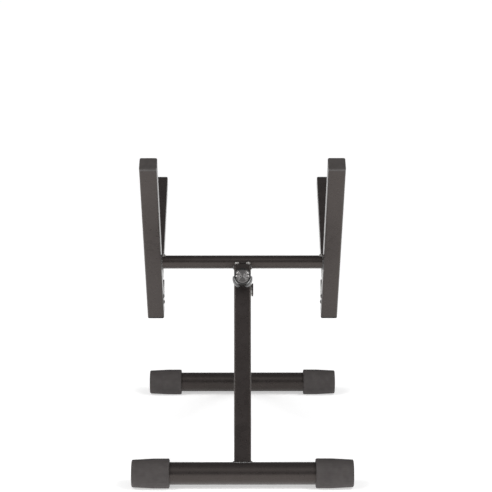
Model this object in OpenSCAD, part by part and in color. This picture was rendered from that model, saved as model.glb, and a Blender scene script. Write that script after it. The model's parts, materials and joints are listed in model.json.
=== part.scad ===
// Folding stand that holds a small amplifier tilted back.
// A rear column carries a crossbar with two leaning uprights, a front leg folds against
// the column, and two support arms fold up along the uprights.
// X runs across the stand, Y forwards and Z up, in millimetres. The floor is at Z = 0.
// Left and right are as seen from behind, where the knob is.

/* [Foot bars] */
// Outside diameter of the two foot bars
bar_d = 33.5; // [30:0.5:40]
// Wall of the foot bar tube
bar_wall = 1.5; // [1:0.1:3]
// Width of the stand over its rubber caps
foot_w = 329; // [280:1:400]
// Distance from the rear foot bar to the front one, axis to axis
foot_spacing = 489; // [440:1:540]

/* [Rubber foot caps] */
// Rubber around the bar, at the open end of a cap
cap_wall = 5.25; // [3:0.25:8]
// Length of a cap
cap_len = 56; // [45:1:75]
// Rubber over the end of the bar
cap_end = 5; // [3:0.5:8]
// Length of the straight stretch before the taper
cap_straight = 24; // [10:1:35]
// How much the radius shrinks along the taper
cap_taper = 1.6; // [0.5:0.1:2.5]
// Depth of the flat that a cap stands on
cap_flat = 1; // [0.5:0.1:1.5]
// Radius of the rounded edges of a cap
cap_rim = 1.6; // [0.8:0.1:2.5]
// Gap between a cap and the bar inside it
cap_gap = 0.05; // [0.02:0.01:0.2]

/* [Square tube] */
// Width of the square tube of the column and the uprights
tube_w = 25.4; // [22:0.2:30]
// Wall of that tube
tube_wall = 1.6; // [1.2:0.1:2.5]
// Outer corner radius of that tube
tube_corner = 2.6; // [2:0.1:4]

/* [Column] */
// Lean of the column from upright, towards the front
column_lean = 21; // [17:1:25]
// Distance from the rear foot bar's axis up the column to the crossbar's axis
crossbar_h = 319; // [295:1:340]
// How far the column's axis passes ahead of the foot bar's axis
column_offset = 7; // [0:0.5:8]
// Start of the column above the foot bar's axis
column_foot = 4; // [1:0.5:8]
// Distance from the column's square end up to the crossbar's axis
column_drop = 5; // [3:0.5:8]
// Gap at a coped joint, filled by the weld
weld_gap = 0.1; // [0.05:0.05:0.3]

/* [Crossbar] */
// Outside diameter of the crossbar
crossbar_d = 20; // [16:1:22]
// Wall of the crossbar tube
crossbar_wall = 1.5; // [1:0.1:3]

/* [Uprights] */
// Length of an upright over its plugs
upright_len = 311; // [260:1:360]
// Distance between the uprights, centre to centre
upright_spacing = 271; // [220:1:320]
// Lean of the uprights from upright, towards the back
upright_lean = 33; // [25:0.5:40]
// Distance from an upright's lower end to the crossbar's axis
upright_below = 112; // [90:1:130]

/* [Tube plugs] */
// Thickness of a plug's head
plug_head = 3; // [2:0.5:5]
// Height of the step around a plug's head
plug_step_h = 1.3; // [0.8:0.1:1.8]
// Width of that step
plug_step = 0.8; // [0.4:0.1:1.2]
// Length of a plug inside its tube
plug_depth = 14; // [8:1:20]
// Wall of the hollow part inside the tube
plug_wall = 1.8; // [1.2:0.1:3]
// Corner radius of that part
plug_corner = 0.6; // [0.4:0.1:1]
// Gap between that part and the tube
plug_gap = 0.1; // [0.05:0.05:0.3]
// Shank diameter of the rivets that hold an upright's lower plug
rivet_d = 5; // [4:0.5:6]
// Head diameter of a rivet
rivet_head_d = 7.5; // [7:0.5:10]
// Head height of a rivet
rivet_head_h = 1.8; // [1:0.1:2.5]
// Clearance around a rivet's shank
rivet_fit = 0.05; // [0.02:0.01:0.1]
// Height of the lower rivet above the upright's lower end
rivet_low = 24.5; // [22:0.5:27]
// Distance between the two rivets
rivet_pitch = 13; // [10:0.5:14]

/* [Front leg] */
// Width of the front leg's square tube
leg_w = 20; // [18:0.5:23]
// Wall of that tube
leg_wall = 1.5; // [1:0.1:2.5]
// Outer corner radius of that tube
leg_corner = 2; // [1.6:0.1:3]
// Distance from the crossbar's axis down the column to the leg's pivot
pivot_below = 38.7; // [37:0.1:41]

/* [Leg hinge] */
// Thickness of the hinge bracket
hinge_t = 2.4; // [2:0.1:4]
// Radius of the hub at the top of the leg
hub_r = 13.5; // [12:0.5:15]
// Gap between the hub and the bracket's web
hub_gap = 0.6; // [0.4:0.1:1]
// Gap between the hub and each cheek of the bracket
cheek_gap = 0.3; // [0.2:0.05:0.5]
// Diameter of the pivot rivet
pivot_d = 8; // [6:0.5:10]
// Clearance around the pivot rivet's shank
pivot_fit = 0.05; // [0.02:0.01:0.1]
// Diameter of the pivot rivet's head
pivot_head_d = 20; // [18:0.5:22]
// Height of that head
pivot_head_h = 2.4; // [1.6:0.1:3]
// Chamfer around that head
pivot_head_bevel = 0.5; // [0.3:0.1:0.8]
// Diameter of the washer under that head
pivot_washer_d = 17; // [15:0.5:17.5]
// Thickness of that washer
pivot_washer_t = 1.4; // [1:0.1:2]
// Diameter of the stop pin
stop_pin_d = 6; // [4:0.5:7]
// Distance from the pivot along the leg to the stop pin
stop_along = 14; // [12:0.5:18]
// Gap between the opened leg and the stop pin
stop_gap = 0.3; // [0.2:0.05:0.5]
// Metal of the bracket around the bush and the pivot
hinge_margin = 5; // [3:0.5:6]
// Metal of the bracket around the stop pin
stop_margin = 4; // [2.5:0.1:5]
// How far the bracket goes on below the pivot
hinge_tail = 16; // [14:0.5:20]
// Depth of the bracket at its top
hinge_top_w = 12.2; // [11:0.1:14]
// Distance from the stop pin back to the round of the cheeks' lower edge
hinge_belly = 6; // [4:0.5:8]
// Distance from the hub to the shoulder that the leg's tube butts on
shoulder_gap = 6.5; // [5:0.5:12]
// Length of the hinge block inside the leg's tube
block_depth = 34; // [20:1:50]
// Gap between the hinge block and the tube's inside
block_gap = 0.1; // [0.05:0.05:0.3]

/* [Clamp] */
// Distance from the crossbar's axis down the column to the clamp's axis
clamp_below = 29.5; // [28:0.1:31]
// Diameter of the clamp stud
stud_d = 8; // [6:0.5:10]
// Clearance around the stud
stud_fit = 0.05; // [0.02:0.01:0.1]
// Gap between the stud's tip and the hub at rest
stud_tip_gap = 0.35; // [0.3:0.05:0.6]
// Outside diameter of the threaded bush
bush_d = 14; // [12:0.5:15]
// Diameter of the bush's flange
bush_flange_d = 20; // [17:0.5:24]
// Thickness of the bush's flange
bush_flange_t = 3; // [2:0.5:4]
// Gap between the bush and the holes that it is pressed in
bush_gap = 0.05; // [0.02:0.01:0.1]

/* [Knob] */
// Diameter over the knob's lobes
knob_d = 30.5; // [28:0.5:40]
// Number of lobes
knob_lobes = 3; // [2:1:6]
// Radius of the notch between two lobes
notch_r = 4; // [3:0.1:5]
// Depth of that notch
notch_depth = 4.2; // [3.2:0.1:5]
// Radius of the notch's lips
notch_lip = 0.8; // [0.5:0.1:1.5]
// How far the lips stand out over the knob's edge
lip_rise = 0.05; // [0.03:0.01:0.1]
// Thickness of the lobed part
knob_t = 12; // [10:0.5:18]
// Radius of the lobes' crowned rims
knob_rim = 1.8; // [1.2:0.1:2.5]
// How far the crowning clears the lobes' edges
knob_crown = 0.4; // [0.2:0.1:0.6]
// Distance from the column to the lobed part
knob_stand_off = 8; // [7:0.5:14]
// Diameter of the collar under the lobes
collar_d = 17; // [13:0.5:19]
// Gap between the collar and the bush's flange
collar_gap = 1; // [0.5:0.1:2]
// Diameter of the boss that carries the metal cap
boss_d = 25; // [22:0.5:28]
// Height of that boss above the lobes
boss_h = 17; // [12:0.5:20]
// Radius of the round shoulder at the boss's end
boss_round = 1.6; // [1:0.1:2]
// Diameter of the knob's metal cap
knob_cap_d = 20.6; // [16:0.2:21]
// Thickness of the metal cap
knob_cap_t = 2; // [1:0.2:3]
// Chamfer around the metal cap
knob_cap_bevel = 0.6; // [0.3:0.1:0.9]
// Depth of the stud's hole in the knob
knob_bore = 26; // [18:0.5:28]
// Gap between the stud's end and the bottom of that hole
knob_end_gap = 0.5; // [0.3:0.1:1]

/* [Support arms] */
// Gap between a support arm and each cheek of its bracket
arm_side_gap = 0.9; // [0.7:0.1:1.2]
// Wall of that tube
arm_wall = 1.5; // [1:0.1:2.5]
// Outer corner radius of that tube
arm_corner = 2; // [1.6:0.1:3]
// Length of a support arm's tube
arm_len = 257; // [180:1:300]
// Height of an arm's top above the upright's lower end
arm_top = 38; // [34:0.5:45]
// Distance from the pivot to the arm's rear end
arm_pivot_in = 6; // [5:0.5:8]
// Distance from the arm's top down to the pivot
arm_pivot_down = 7; // [6:0.5:10]
// Clearance of the arm's corners as it folds up
sweep_gap = 0.4; // [0.3:0.1:1]

/* [Support brackets] */
// Sheet thickness of a bracket, which is as wide as the upright
bracket_t = 1.8; // [1.5:0.1:2.2]
// Corner radius of a bracket's cheeks
bracket_corner = 4; // [2:0.5:5]
// Distance that a bracket stays below the arm's top
bracket_below_arm = 1; // [0.5:0.5:1.5]
// Length of the web that an arm rests on
bracket_web = 8; // [6:0.5:12]
// Gap between an arm and that web
bracket_rest_gap = 0.3; // [0.2:0.05:0.5]

/* [Support pivots] */
// Shank diameter of the rivet that an arm turns on
arm_rivet_d = 6; // [5:0.5:6.5]
// Clearance around its shank
arm_rivet_fit = 0.05; // [0.02:0.01:0.1]
// Diameter of its two low heads
arm_rivet_head_d = 11; // [9:0.5:12]
// Height of a head
arm_rivet_head_h = 0.8; // [0.6:0.1:1.2]
// Diameter of a nylon washer
washer_d = 12; // [10:0.5:12.5]
// Clearance at each side of a nylon washer
washer_gap = 0.15; // [0.1:0.05:0.25]

/* [Hidden] */
$fn = 64;

// Colours of the finishes
coat = "#3a3937";
rubber = "#47474a";
plastic = "#2b2b2c";
gloss = "#161617";
bright = "#b9bab8";
zinc = "#c3c4bd";
nylon = "#d9d7cf";

// Half sizes and other plain results of the sizes above
bar_r = bar_d / 2;
bar_len = foot_w - 2 * cap_end;
cap_r = bar_r + cap_wall;
axis_h = cap_r - cap_flat;
tube_half = tube_w / 2;
crossbar_r = crossbar_d / 2;
crossbar_len = upright_spacing - tube_w;

// The column's faces, square to its axis and from the rear foot bar's axis
column_rear = column_offset - tube_half;
column_front = column_offset + tube_half;
column_top = crossbar_h - column_drop;

// Heights up the column of what is fixed a set distance below the crossbar
pivot_h = crossbar_h - pivot_below;
clamp_h = crossbar_h - clamp_below;

// The leg's pivot in the column's own directions, then from the rear foot bar's axis
pivot_out = column_front + hinge_t + hub_gap + hub_r;
pivot_y = pivot_out * cos(column_lean) + pivot_h * sin(column_lean);
pivot_z = pivot_h * cos(column_lean) - pivot_out * sin(column_lean);
leg_lean = atan2(foot_spacing - pivot_y, pivot_z);
leg_len = norm([foot_spacing - pivot_y, pivot_z]);
spread = leg_lean + column_lean;
leg_half = leg_w / 2;
shoulder = hub_r + shoulder_gap;
block_w = leg_w - 2 * leg_wall - 2 * block_gap;

// Hinge bracket: half the width between its cheeks, and the stop pin from the pivot
cheek_in = leg_half + cheek_gap;
cheek_out = cheek_in + hinge_t;
pivot_r = pivot_d / 2;
stop_r = stop_pin_d / 2;
stop_up = leg_half + stop_gap + stop_r;
stop_y = stop_along * sin(spread) + stop_up * cos(spread);
stop_z = stop_up * sin(spread) - stop_along * cos(spread);

// Clamp: depth of the bush through the column, and of the stud towards the hub
stud_r = stud_d / 2;
bush_r = bush_d / 2;
bush_depth = tube_w + hinge_t;
stud_rise = clamp_h - pivot_h - stud_r;
stud_depth = pivot_out - column_rear - sqrt(pow(hub_r + stud_tip_gap, 2) - pow(stud_rise, 2));
knob_face = knob_stand_off + knob_t;
boss_face = knob_face + boss_h;
collar_start = bush_flange_t + collar_gap;
knob_r = knob_d / 2;
notch_at = knob_r - notch_depth + notch_r;
lip_at = knob_r - notch_lip + lip_rise;
lip_turn = acos((pow(lip_at, 2) + pow(notch_at, 2) - pow(notch_r + notch_lip, 2))
    / (2 * notch_at * lip_at));

// Support arm and its bracket, from the upright's front face and lower end
arm_w = tube_w - 2 * (bracket_t + arm_side_gap);
arm_pivot_y = bracket_t + norm([arm_pivot_in, arm_pivot_down]) + sweep_gap;
arm_pivot_z = arm_top - arm_pivot_down;
arm_start = arm_pivot_y - arm_pivot_in;
web_down = arm_w - arm_pivot_down + bracket_rest_gap;
web_start = arm_pivot_y + sweep_gap
    + sqrt(pow(norm([arm_pivot_in, arm_w - arm_pivot_down]) + sweep_gap, 2) - pow(web_down, 2));
web_top = arm_pivot_z - web_down;
bracket_low = web_top - bracket_t;
bracket_high = arm_top - bracket_below_arm;
washer_t = arm_side_gap - 2 * washer_gap;
long_plug_depth = rivet_low + rivet_pitch + rivet_head_d - plug_head;

// --- Frames that the pieces are drawn in ---

// On the rear foot bar's axis
module at_rear_bar() {
    translate([0, -foot_spacing / 2, axis_h]) children();
}

// On the front foot bar's axis
module at_front_bar() {
    translate([0, foot_spacing / 2, axis_h]) children();
}

// Z runs up the column from the rear foot bar's axis, Y forwards and square to it
module on_column() {
    at_rear_bar() rotate([-column_lean, 0, 0]) children();
}

// The leg's pivot, in the column's directions
module at_pivot() {
    on_column() translate([0, pivot_out, pivot_h]) children();
}

// Z runs up the opened leg to its pivot, Y square to it and upwards
module on_leg() {
    at_pivot() rotate([spread, 0, 0]) children();
}

// Z runs out of the column's rear face along the clamp's axis
module on_clamp() {
    on_column() translate([0, column_rear, clamp_h]) rotate([90, 0, 0]) children();
}

// On one upright: Z runs up from its lower end, Y forwards from its front face,
// and -X is its inner side
module on_upright(side) {
    mirror([side == "left" ? 1 : 0, 0, 0])
        on_column()
            translate([upright_spacing / 2, column_offset, crossbar_h])
                rotate([column_lean + upright_lean, 0, 0])
                    translate([0, tube_half, -upright_below])
                        children();
}

// The two rivet places of an upright, on its mid line
module at_rivets() {
    for (z = [rivet_low, rivet_low + rivet_pitch])
        translate([0, -tube_half, z]) children();
}

// --- Shapes that repeat ---

// A rod across the stand, centred on X
module rod_x(d, len) {
    rotate([0, 90, 0]) cylinder(d = d, h = len, center = true);
}

// A rod along X from one place to another
module rod_from(d, x0, x1) {
    translate([x0, 0, 0]) rotate([0, 90, 0]) cylinder(d = d, h = x1 - x0);
}

// A round tube across the stand
module round_tube(d, wall, len) {
    difference() {
        rod_x(d, len);
        rod_x(d - 2 * wall, len + 2);
    }
}

// A square with rounded corners, centred on the origin
module soft_square(w, r) {
    square([w, w - 2 * r], center = true);
    square([w - 2 * r, w], center = true);
    for (x = [-1, 1], y = [-1, 1])
        translate([x * (w / 2 - r), y * (w / 2 - r)]) circle(r);
}

// A square tube that stands on the origin
module square_tube(w, wall, corner, len) {
    linear_extrude(len) difference() {
        soft_square(w, corner);
        soft_square(w - 2 * wall, max(corner - wall, 0.5));
    }
}

// The outline around a ring of round corners, each [x, y, radius], anticlockwise
module rounded_outline(corners) {
    count = len(corners);
    polygon([
        for (i = [0 : count - 1])
            let (
                a = corners[i],
                b = corners[(i + 1) % count],
                gap = norm([b.x - a.x, b.y - a.y]),
                turn = atan2(b.y - a.y, b.x - a.x) - acos((a[2] - b[2]) / gap),
                out = [cos(turn), sin(turn)]
            )
            each [[a.x, a.y] + a[2] * out, [b.x, b.y] + b[2] * out]
    ]);
    for (c = corners)
        if (c[2] > 0) translate([c.x, c.y]) circle(c[2]);
}

// A sheet drawn in Y and Z, of thickness t and starting at x
module sheet_at(x, t) {
    translate([x, 0, 0]) rotate([90, 0, 90]) linear_extrude(t) children();
}

// A low domed head that stands on the origin
module domed_head(d, h) {
    dome = (pow(d / 2, 2) + pow(h, 2)) / (2 * h);
    intersection() {
        cylinder(d = d, h = h);
        translate([0, 0, h - dome]) sphere(dome);
    }
}

// A disc that stands on the origin, with a chamfer around its top
module turned_disc(d, h, bevel) {
    rotate_extrude()
        polygon([[0, 0], [d / 2, 0], [d / 2, h - bevel], [d / 2 - bevel, h], [0, h]]);
}

// A push-in plug for a square tube: its head is above the origin, its hollow part below
module tube_plug(w, wall, corner, depth) {
    inner = w - 2 * wall - 2 * plug_gap;
    linear_extrude(plug_head - plug_step_h) soft_square(w, corner);
    translate([0, 0, plug_head - plug_step_h])
        linear_extrude(plug_step_h) soft_square(w - 2 * plug_step, corner - plug_step);
    translate([0, 0, -depth]) difference() {
        linear_extrude(depth) soft_square(inner, plug_corner);
        translate([0, 0, -1])
            linear_extrude(depth) soft_square(inner - 2 * plug_wall, plug_corner);
    }
}

// A rubber cap on a foot bar: X runs from its open rim to its closed end
module foot_cap() {
    end_r = cap_r - cap_taper;
    difference() {
        rotate([0, 90, 0]) rotate_extrude() difference() {
            rounded_outline([
                [0, 0, 0],
                [cap_r - cap_rim, cap_rim, cap_rim],
                [cap_r - cap_rim, cap_straight, cap_rim],
                [end_r - cap_rim, cap_len - cap_rim, cap_rim],
                [0, cap_len, 0]
            ]);
            translate([-cap_r, -1]) square([cap_r, cap_len + 2]);
        }
        rod_from(bar_d + 2 * cap_gap, -1, cap_len - cap_end);
        translate([-1, -cap_r, -axis_h - cap_r]) cube([cap_len + 2, 2 * cap_r, cap_r]);
    }
}

// The two caps of a bar sit at its ends
module cap_place(side) {
    mirror([side == "left" ? 1 : 0, 0, 0]) translate([foot_w / 2 - cap_len, 0, 0]) children();
}

// --- Rear frame ---

module rear_foot_bar() {
    color(coat) at_rear_bar() round_tube(bar_d, bar_wall, bar_len);
}

module rear_foot_cap_left() {
    color(rubber) at_rear_bar() cap_place("left") foot_cap();
}

module rear_foot_cap_right() {
    color(rubber) at_rear_bar() cap_place("right") foot_cap();
}

// The column is coped over the foot bar and under the crossbar
module rear_column() {
    color(coat) on_column() difference() {
        translate([0, column_offset, column_foot])
            square_tube(tube_w, tube_wall, tube_corner, column_top - column_foot);
        rod_x(bar_d + 2 * weld_gap, 2 * tube_w);
        translate([0, column_offset, crossbar_h])
            rod_x(crossbar_d + 2 * weld_gap, 2 * tube_w);
        translate([0, column_rear - 1, clamp_h]) rotate([-90, 0, 0])
            cylinder(d = bush_d + 2 * bush_gap, h = tube_w + 2);
    }
}

module crossbar() {
    color(coat) on_column() translate([0, column_offset, crossbar_h])
        round_tube(crossbar_d, crossbar_wall, crossbar_len);
}

// An upright has two holes for the rivets of its lower plug
module upright(side) {
    color(coat) on_upright(side) difference() {
        translate([0, -tube_half, plug_head])
            square_tube(tube_w, tube_wall, tube_corner, upright_len - 2 * plug_head);
        at_rivets() rod_x(rivet_d + 2 * rivet_fit, 2 * tube_w);
    }
}

module left_upright() upright("left");
module right_upright() upright("right");

module top_plug(side) {
    color(plastic) on_upright(side) translate([0, -tube_half, upright_len - plug_head])
        tube_plug(tube_w, tube_wall, tube_corner, plug_depth);
}

// The lower plug is long: two rivets hold it and it stiffens the tube beside the arm's bracket
module bottom_plug(side) {
    color(plastic) on_upright(side) difference() {
        translate([0, -tube_half, plug_head]) rotate([180, 0, 0])
            tube_plug(tube_w, tube_wall, tube_corner, long_plug_depth);
        at_rivets() rod_x(rivet_d + 2 * rivet_fit, 2 * tube_w);
    }
}

// Each rivet has a domed head at the upright's inner side and is flush at the outer side
module plug_rivets(side) {
    color(coat) on_upright(side) at_rivets() {
        rod_x(rivet_d, tube_w);
        translate([-tube_half, 0, 0]) rotate([0, -90, 0]) domed_head(rivet_head_d, rivet_head_h);
    }
}

module left_upright_top_plug() top_plug("left");
module left_upright_bottom_plug() bottom_plug("left");
module right_upright_top_plug() top_plug("right");
module right_upright_bottom_plug() bottom_plug("right");
module left_plug_rivets() plug_rivets("left");
module right_plug_rivets() plug_rivets("right");

// --- Hinge of the front leg ---

// Outline of a cheek, from the pivot: it spans the column's face, the hub and the stop pin
module hinge_cheek() {
    back = column_front - pivot_out;
    top = clamp_h - pivot_h + bush_r + hinge_margin;
    front_r = stop_r + stop_margin;
    rounded_outline([
        [back, -hinge_tail, 0],
        [stop_y - hinge_belly, stop_z - stop_up - hinge_margin, hinge_margin],
        [stop_y, stop_z, front_r],
        [back + hinge_top_w - hinge_margin, top - hinge_margin, hinge_margin],
        [back, top, 0]
    ]);
}

// A channel welded to the column's front: a web with a cheek at each side of the hub
module hinge_bracket() {
    back = column_front - pivot_out;
    top = clamp_h - pivot_h + bush_r + hinge_margin;
    color(coat) at_pivot() difference() {
        union() {
            translate([-cheek_out, back, -hinge_tail])
                cube([2 * cheek_out, hinge_t, hinge_tail + top]);
            for (x = [-cheek_out, cheek_in])
                sheet_at(x, hinge_t) hinge_cheek();
        }
        rod_x(pivot_d + 2 * pivot_fit, 3 * tube_w);
        translate([0, stop_y, stop_z]) rod_x(stop_pin_d + 2 * bush_gap, 3 * tube_w);
        translate([0, back - 1, clamp_h - pivot_h]) rotate([-90, 0, 0])
            cylinder(d = bush_d + 2 * bush_gap, h = hinge_t + 2);
    }
}

module leg_stop_pin() {
    color(coat) at_pivot() translate([0, stop_y, stop_z]) rod_x(stop_pin_d, 2 * cheek_out);
}

// The rivet is flush at the left and has a broad flat head at the right
module leg_pivot_rivet() {
    color(coat) at_pivot() {
        rod_from(pivot_d, -cheek_out, cheek_out + pivot_washer_t);
        translate([cheek_out + pivot_washer_t, 0, 0]) rotate([0, 90, 0])
            turned_disc(pivot_head_d, pivot_head_h, pivot_head_bevel);
    }
}

module leg_pivot_washer() {
    color(zinc) at_pivot() difference() {
        rod_from(pivot_washer_d, cheek_out, cheek_out + pivot_washer_t);
        rod_x(pivot_d + 2 * pivot_fit, 3 * tube_w);
    }
}

// --- Front leg ---

// The leg's tube is coped over the front foot bar and butts on the hinge block
module front_leg() {
    color(coat) on_leg() difference() {
        translate([0, 0, -leg_len])
            square_tube(leg_w, leg_wall, leg_corner, leg_len - shoulder);
        translate([0, 0, -leg_len]) rod_x(bar_d + 2 * weld_gap, 2 * leg_w);
    }
}

// A hub with a square neck, and a core that fills the end of the leg's tube
module leg_hinge_block() {
    color(coat) on_leg() difference() {
        union() {
            rod_x(2 * hub_r, leg_w);
            translate([-leg_half, -leg_half, -shoulder]) cube([leg_w, leg_w, shoulder]);
            translate([0, 0, -shoulder - block_depth])
                linear_extrude(block_depth + 1) soft_square(block_w, 1);
        }
        rod_x(pivot_d + 2 * pivot_fit, 2 * leg_w);
    }
}

module front_foot_bar() {
    color(coat) at_front_bar() round_tube(bar_d, bar_wall, bar_len);
}

module front_foot_cap_left() {
    color(rubber) at_front_bar() cap_place("left") foot_cap();
}

module front_foot_cap_right() {
    color(rubber) at_front_bar() cap_place("right") foot_cap();
}

// --- Clamp and its knob ---

// A flanged bush goes through the column and the web of the hinge bracket
module clamp_bush() {
    color(zinc) on_clamp() difference() {
        union() {
            translate([0, 0, -bush_depth]) cylinder(d = bush_d, h = bush_depth + 1);
            cylinder(d = bush_flange_d, h = bush_flange_t);
        }
        translate([0, 0, -bush_depth - 1])
            cylinder(d = stud_d + 2 * stud_fit, h = bush_depth + bush_flange_t + 2);
    }
}

module clamp_stud() {
    stud_end = collar_start + knob_bore - knob_end_gap;
    color(zinc) on_clamp() translate([0, 0, -stud_depth])
        cylinder(d = stud_d, h = stud_depth + stud_end);
}

// The way that a turn from straight down points to
function heading(turn) = [sin(turn), -cos(turn)];

// Round notches with round lips in a disc's edge; one points down when the knob is at rest
module lobed_outline() {
    step = 360 / knob_lobes;
    far = 1.2 * knob_r / cos(step / 6);
    difference() {
        union() {
            intersection() {
                circle(knob_r);
                polygon([
                    for (i = [0 : knob_lobes - 1])
                        each [
                            notch_at * heading(i * step),
                            lip_at * heading(i * step + lip_turn),
                            for (turn = [lip_turn, step / 3, 2 * step / 3, step - lip_turn])
                                far * heading(i * step + turn),
                            lip_at * heading((i + 1) * step - lip_turn)
                        ]
                ]);
            }
            for (i = [0 : knob_lobes - 1], way = [-1, 1])
                translate(lip_at * heading(i * step + way * lip_turn)) circle(notch_lip);
        }
        for (i = [0 : knob_lobes - 1])
            translate(notch_at * heading(i * step)) circle(notch_r);
    }
}

// A moulded knob: collar, lobed grip with a crowned rim, and the boss for its metal cap
module clamp_knob() {
    crown = knob_r + knob_crown - knob_rim;
    color(gloss) on_clamp() difference() {
        union() {
            translate([0, 0, collar_start]) cylinder(d = collar_d, h = knob_stand_off - collar_start);
            intersection() {
                translate([0, 0, knob_stand_off]) linear_extrude(knob_t) lobed_outline();
                rotate_extrude() rounded_outline([
                    [0, knob_stand_off, 0],
                    [crown, knob_stand_off + knob_rim, knob_rim],
                    [crown, knob_face - knob_rim, knob_rim],
                    [0, knob_face, 0]
                ]);
            }
            rotate_extrude() rounded_outline([
                [0, knob_face - 1, 0],
                [boss_d / 2, knob_face - 1, 0],
                [boss_d / 2 - boss_round, boss_face - boss_round, boss_round],
                [0, boss_face, 0]
            ]);
        }
        translate([0, 0, collar_start - 1])
            cylinder(d = stud_d + 2 * stud_fit, h = knob_bore + 1);
    }
}

// A turned disc with a chamfered edge
module knob_cap() {
    color(bright) on_clamp() translate([0, 0, boss_face])
        turned_disc(knob_cap_d, knob_cap_t, knob_cap_bevel);
}

// --- Support arms and their brackets ---

module at_arm_pivot() {
    translate([0, arm_pivot_y, arm_pivot_z]) children();
}

// A cheek reaches from the upright's front face to the end of the shelf
module bracket_cheek() {
    r = bracket_corner;
    front = web_start + bracket_web;
    rounded_outline([
        [0, bracket_low, 0],
        [front - r, bracket_low + r, r],
        [front - r, bracket_high - r, r],
        [0, bracket_high, 0]
    ]);
}

// One folded sheet, welded to the upright's front face: a back, two cheeks that lie flush
// with the upright's sides, and the shelf that the arm rests on
module support_bracket(side) {
    color(coat) on_upright(side) difference() {
        union() {
            translate([-tube_half, 0, bracket_low])
                cube([tube_w, bracket_t, bracket_high - bracket_low]);
            for (x = [-tube_half, tube_half - bracket_t])
                sheet_at(x, bracket_t) bracket_cheek();
            translate([-tube_half, web_start, bracket_low])
                cube([tube_w, bracket_web - bracket_corner, bracket_t]);
        }
        at_arm_pivot() rod_x(arm_rivet_d + 2 * arm_rivet_fit, 2 * tube_w);
    }
}

module left_support_bracket() support_bracket("left");
module right_support_bracket() support_bracket("right");

// The rivet that an arm turns on has a low head at each side of the bracket
module support_pivot(side) {
    color(zinc) on_upright(side) at_arm_pivot() {
        rod_x(arm_rivet_d, tube_w);
        for (turn = [90, -90])
            rotate([0, turn, 0]) translate([0, 0, tube_half])
                domed_head(arm_rivet_head_d, arm_rivet_head_h);
    }
}

module left_support_pivot() support_pivot("left");
module right_support_pivot() support_pivot("right");

// A nylon washer at each side of the arm
module support_washers(side) {
    start = arm_w / 2 + washer_gap;
    color(nylon) on_upright(side) at_arm_pivot() for (turn = [90, -90])
        rotate([0, turn, 0]) translate([0, 0, start]) difference() {
            cylinder(d = washer_d, h = washer_t);
            translate([0, 0, -1]) cylinder(d = arm_rivet_d + 2 * arm_rivet_fit, h = washer_t + 2);
        }
}

module left_support_washers() support_washers("left");
module right_support_washers() support_washers("right");

// The arm's tube lies square to the upright and is drilled for its rivet
module support_arm(side) {
    color(coat) on_upright(side) difference() {
        translate([0, arm_start, arm_top - arm_w / 2]) rotate([-90, 0, 0])
            square_tube(arm_w, arm_wall, arm_corner, arm_len);
        at_arm_pivot() rod_x(arm_rivet_d + 2 * arm_rivet_fit, 2 * tube_w);
    }
}

module left_support_arm() support_arm("left");
module right_support_arm() support_arm("right");

module support_tip(side) {
    color(rubber) on_upright(side) translate([0, arm_start + arm_len, arm_top - arm_w / 2])
        rotate([-90, 0, 0]) tube_plug(arm_w, arm_wall, arm_corner, plug_depth);
}

module left_support_tip() support_tip("left");
module right_support_tip() support_tip("right");

rear_foot_bar();
rear_foot_cap_left();
rear_foot_cap_right();
rear_column();
crossbar();
left_upright();
right_upright();
left_upright_top_plug();
left_upright_bottom_plug();
right_upright_top_plug();
right_upright_bottom_plug();
left_plug_rivets();
right_plug_rivets();
hinge_bracket();
leg_stop_pin();
leg_pivot_rivet();
leg_pivot_washer();
clamp_bush();
left_support_bracket();
right_support_bracket();
left_support_pivot();
right_support_pivot();
left_support_washers();
right_support_washers();
front_leg();
leg_hinge_block();
front_foot_bar();
front_foot_cap_left();
front_foot_cap_right();
left_support_arm();
left_support_tip();
right_support_arm();
right_support_tip();
clamp_stud();
clamp_knob();
knob_cap();
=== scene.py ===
# Folding amplifier stand in powder-coated steel tube, seen from behind at its knob side.
# The imported solids are the frame: square and round tubes keep their CAD shape and get their
# finish here, as do the fasteners, and welds, rubber caps, plugs and the knob are modelled here.
import json
import math
import bpy
from mathutils import Matrix, Vector


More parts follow.
